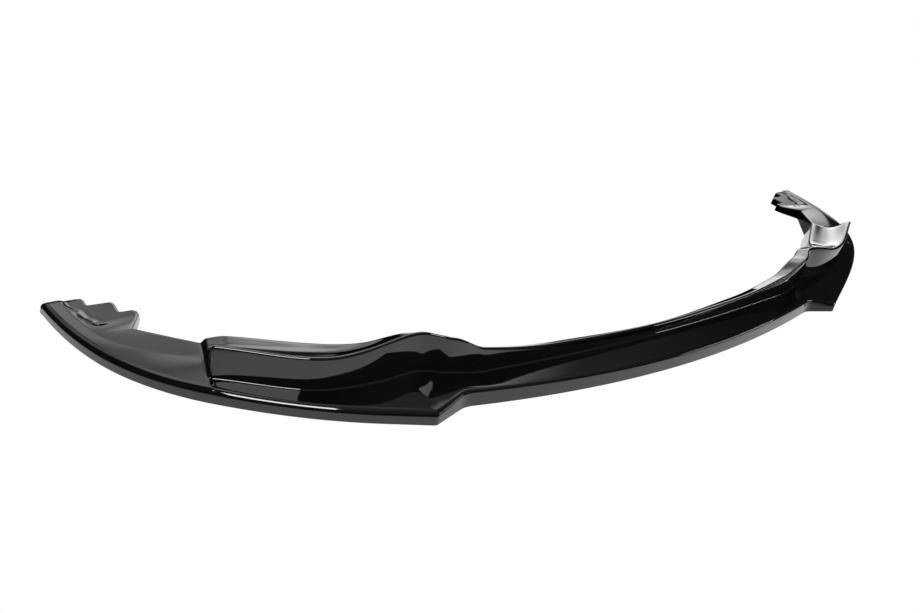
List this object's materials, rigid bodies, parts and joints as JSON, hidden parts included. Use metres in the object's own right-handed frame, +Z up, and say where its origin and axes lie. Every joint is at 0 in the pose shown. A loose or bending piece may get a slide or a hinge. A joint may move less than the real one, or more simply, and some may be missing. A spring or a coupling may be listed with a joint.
{
  "type": "front splitter lip",
  "caption": "One-piece moulded front splitter lip: swept blade with a stepped leading edge, raised wing corners and toothed wheel arch ends, hollow underneath.",
  "frame": {"origin": "on the ground under the middle of the part: halfway across its width and halfway between the nose and the arch ends, at the height of its lowest rim", "axes": "+X to the part's left-hand side as a driver sits, -Y forwards to the nose, +Z up"},
  "size_m": [1.804, 0.466, 0.0985],
  "materials": {
    "gloss_black": "gloss black moulded plastic"
  },
  "bodies": {
    "root": {"splitter_lip": "gloss_black"}
  },
  "joints": []
}
